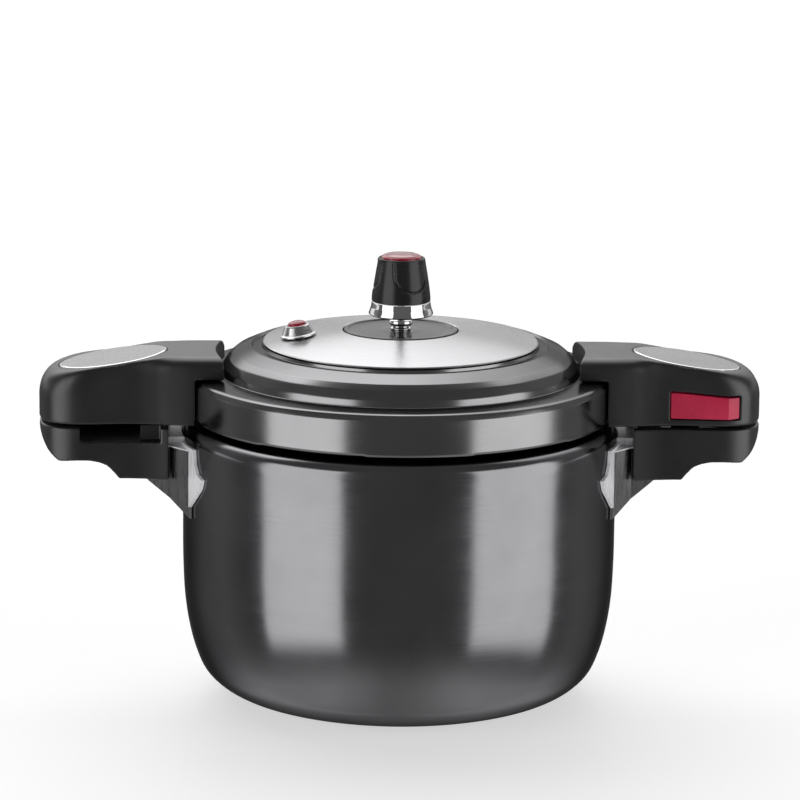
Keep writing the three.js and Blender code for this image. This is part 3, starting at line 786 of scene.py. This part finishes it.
def badge(side):
    """An oval plate: satin face, polished chamfer."""
    bm = bmesh.new()
    rows = ((0, -1.3), (0, -0.35), (-0.15, -0.12), (-0.85, 0.1), (-1.1, 0.1))
    count = 160
    rings = []
    for grow, height in rows:
        points = [((BADGE[0] + grow) * math.cos(TAU * k / count),
                   (BADGE[1] + grow) * math.sin(TAU * k / count), height) for k in range(count)]
        rings.append([bm.verts.new(Vector(point) * MM) for point in points])
    for i, (a, b) in enumerate(zip(rings, rings[1:])):
        for k in range(count):
            face = bm.faces.new((a[k], a[(k + 1) % count], b[(k + 1) % count], b[k]))
            face.material_index = 1 if i in (1, 2) else 0
    bm.faces.new(rings[0][::-1])
    bm.faces.new(rings[-1])
    mesh = bpy.data.meshes.new("badge")
    bm.to_mesh(mesh)
    bm.free()
    mesh.transform(badge_frame())
    if side == "left":
        mesh.transform(Matrix.Rotation(math.pi, 4, "Z"))
    return add_object(f"oval_plate_{side}", mesh, "lid", [f"badge_{side}"],
                      ["badge", "rim"], 14)


def bevelled(mesh, width, segments, angle):
    obj = bpy.data.objects.new("bevel", mesh)
    bpy.context.scene.collection.objects.link(obj)
    modifier = obj.modifiers.new("edge", "BEVEL")
    modifier.width = width * MM
    modifier.segments = segments
    modifier.limit_method = "ANGLE"
    modifier.angle_limit = math.radians(angle)
    return settle(obj)


def release_button():
    """The red key: a face bent once towards the nose, a flange behind it and a foot for the wedge."""
    face = [(143.8, -25.8), (174.2, -29.4), (180.2, -25.6), (180.2, -22), (143.8, -22)]
    front = [(142, 156), (182, 156), (182, 168.2), (174, 168.6), (151, 170.5), (142, 170.9)]
    key = carve(prism(face, 157, 171), cuts=[], meets=[side_prism(front, -40, -10)])
    mesh = carve(bevelled(key, 0.9, 4, 25), cuts=[],
                 joins=[block(141.4, 176, -22.6, -20.8, 155.4, 172.6),
                        block(150, 156, -21.2, -14, 158, 166)])
    return add_object("release_key", mesh, "button", ["release_button"],
                      ["button"], 25)


# ------------------------------------------------------------------ assembly of the looks
pot()
lid()
steel_plate()
centre_disc()
gasket()
vent_pipe()
weight = [weight_body(), weight_cover(), weight_cap()]
indicator()
for side in ("left", "right"):
    upper_handle(side)
    lower_handle(side)
    badge(side)
for piece in (*weight, release_button()):
    piece.visible_glossy = False  # kept out of the mirror reflections in the lid

CARRIED = {
    "pot_bracket_left": "bracket", "pot_bracket_right": "bracket", "vent_washer": "silicone",
    "vent_nut": "steel", "anti_clog_cap": "steel", "valve_needle": "steel",
    "weight_screw": "steel", "indicator_seal": "silicone", "indicator_nut": "steel",
    "latch_cover": "phenolic", "latch_cover_screw_inner": "dark_steel",
    "latch_cover_screw_outer": "dark_steel", "latch_bolt": "steel", "latch_spring": "steel",
    "lower_handle_screw_left": "steel", "lower_handle_screw_right": "steel",
    "upper_handle_screw_left": "steel", "upper_handle_screw_right": "steel",
    "lid_bracket_left": "steel", "lid_bracket_right": "steel",
}
for node, key in CARRIED.items():
    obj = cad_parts[node]
    if not obj.material_slots:
        obj.data.materials.append(None)
    for material_slot in obj.material_slots:
        material_slot.material = MATERIALS[key]


# ------------------------------------------------------------------ studio
def sky(tree):
    """Two tall soft boxes beside the viewer, a broad panel overhead and behind, a dim room."""
    n = Nodes(tree)

    def degrees(value):
        return n.math("MULTIPLY", value, 180 / math.pi)

    x, y, z = n.split(n.node("ShaderNodeTexCoord").outputs["Generated"])
    azimuth = degrees(n.math("ARCTAN2", x, n.math("MULTIPLY", y, -1.0)))
    height = degrees(n.math("ARCSINE", z))
    climb = degrees(n.math("ARCTAN2", z, y))
    tall = n.band(height, -27, 31, 4)
    parts = [
        n.math("MULTIPLY", n.math("MULTIPLY", n.band(azimuth, -78, -32, 1.5), tall), 1.55),
        n.math("MULTIPLY", n.math("MULTIPLY", n.band(azimuth, 38, 88, 1.5), tall), 1.50),
        n.math("MULTIPLY", n.math("MULTIPLY", n.band(climb, 20.5, 77, 3.5),
                                  n.band(x, -0.62, 0.62, 0.10)),
               n.remap(x, 0.02, 0.30, 1.85, 1.05)),
        n.math("MULTIPLY", n.band(climb, 1, 19, 3), n.remap(x, -0.6, 0.6, 0.75, 0.45)),
        n.math("MULTIPLY", n.band(height, -95, -36, 11),
               n.remap(n.math("ABSOLUTE", x), 0.1, 0.5, 0.18, 0.42)),
        n.math("MULTIPLY", n.band(n.math("ABSOLUTE", azimuth), 100, 140, 12), 0.10),
    ]
    total = 0.11
    for part in parts:
        total = n.math("ADD", total, part)
    tree.nodes["Background"].inputs["Color"].default_value = (1, 1, 1, 1)
    tree.links.new(total, tree.nodes["Background"].inputs["Strength"])


def studio():
    world = bpy.data.worlds.new("studio")
    bpy.context.scene.world = world
    world.use_nodes = True
    sky(world.node_tree)
    bpy.ops.mesh.primitive_plane_add(size=14)
    floor = bpy.context.object
    floor.name = "floor"
    g = Graph("pale_floor")
    g.set(Roughness=0.6, Emission_Strength=0.55)
    g.shader.inputs["Base Color"].default_value = (0.6, 0.6, 0.6, 1)
    g.shader.inputs["Emission Color"].default_value = (1, 1, 1, 1)
    floor.data.materials.append(g.material)
    floor.visible_glossy = False


def camera():
    data = bpy.data.cameras.new("camera")
    data.lens = 208.4
    data.sensor_width = 36
    data.clip_end = 100
    obj = bpy.data.objects.new("camera", data)
    bpy.context.scene.collection.objects.link(obj)
    low, high = cad_box
    aim_height = 0.456 * (high[2] - low[2])
    elevation, bearing, distance = math.radians(13.1), math.radians(-2.0), 2.5
    lift, roll = math.radians(1.147), math.radians(0.6)  # aimed a little high, and turned
    flat = distance * math.cos(elevation)
    obj.location = (flat * math.sin(bearing), -flat * math.cos(bearing),
                    aim_height + distance * math.sin(elevation))
    turn = Matrix.Rotation(bearing, 4, "Z") @ Matrix.Rotation(math.pi / 2 - elevation + lift, 4, "X")
    obj.rotation_euler = (turn @ Matrix.Rotation(roll, 4, "Z")).to_euler()
    bpy.context.scene.camera = obj


studio()
camera()
bpy.context.scene.view_settings.view_transform = "Standard"
